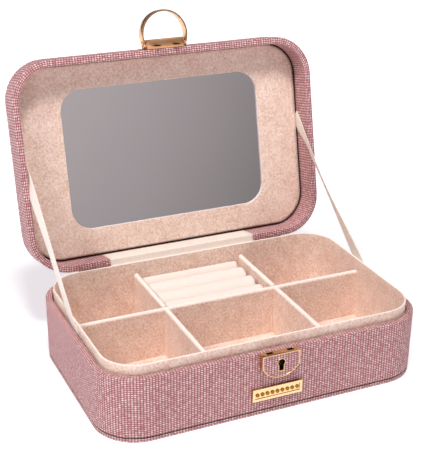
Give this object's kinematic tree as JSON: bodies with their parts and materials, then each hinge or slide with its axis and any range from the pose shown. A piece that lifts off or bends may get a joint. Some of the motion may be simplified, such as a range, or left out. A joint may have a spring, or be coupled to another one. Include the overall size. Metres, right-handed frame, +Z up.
{
  "type": "mirrored lockable jewellery box",
  "caption": "Fabric-covered hinged box with rounded corners, a mirror in the open lid, a velvet tray with dividers and ring rolls, stay ribbons, a key lock and a D-ring pull.",
  "frame": {"origin": "middle of the flat underside, on the surface the box stands on", "axes": "+X along the front to the right, +Y to the back where the hinge is, +Z up"},
  "size_m": [0.22, 0.2051, 0.2112],
  "materials": {
    "glitter_fabric": "dusty rose weave with silver metallic threads",
    "velvet": "short-pile peach velvet over card",
    "cream_cloth": "cream satin ribbon and brushed cloth",
    "greyboard": "pressed board",
    "foam": "soft foam",
    "mirror_glass": "silvered glass",
    "rose_gold": "polished rose gold plating",
    "pale_gold": "polished pale gold plating",
    "plain_steel": "plain stamped steel"
  },
  "bodies": {
    "base": {"base_cover": "glitter_fabric", "bottom_panel": "glitter_fabric", "lock_inset": "glitter_fabric", "hinge_spine": "glitter_fabric", "tray_liner": "velvet", "tray_floor": "velvet", "divider_left": "velvet", "divider_right": "velvet", "cross_divider": "velvet", "ribbon_left": "cream_cloth", "ribbon_right": "cream_cloth", "hinge_strip": "cream_cloth", "ring_roll_1": "cream_cloth", "ring_roll_2": "cream_cloth", "ring_roll_3": "cream_cloth", "ring_roll_4": "cream_cloth", "base_wall": "greyboard", "floor_foam": "foam", "ring_foam": "foam", "lock_body": "rose_gold", "keyhole_rim": "rose_gold", "name_plate": "pale_gold", "lock_backplate": "plain_steel", "key_post": "plain_steel", "lock_spring": "plain_steel", "lock_screws": "plain_steel", "plate_clips": "plain_steel"},
    "lid": {"lid_wall": "greyboard", "lid_cover": "glitter_fabric", "lid_padding": "foam", "lid_top_board": "greyboard", "mirror_panel": "velvet", "mirror_glass": "mirror_glass", "mirror_spacer": "greyboard", "hasp_bar": "rose_gold", "hasp_rivets": "rose_gold", "ring_pins": "rose_gold"},
    "ring": {"d_ring": "rose_gold"},
    "bolt": {"lock_bolt": "plain_steel"}
  },
  "joints": [
    {"name": "lid_hinge", "type": "hinge", "parent": "base", "child": "lid", "pos_m": [0, 0.0739, 0.04415], "axis": [1, 0, 0], "range_deg": [0, 102.5], "deforming": ["ribbon_left", "ribbon_right", "hinge_strip", "hinge_spine"]},
    {"name": "ring_hinge", "type": "hinge", "parent": "lid", "child": "ring", "pos_m": [0, 0.10926, 0.18908], "axis": [1, 0, 0], "range_deg": [0, 90]},
    {"name": "bolt_slide", "type": "slide", "parent": "base", "child": "bolt", "axis": [1, 0, 0], "range_m": [0, 0.0009]}
  ]
}
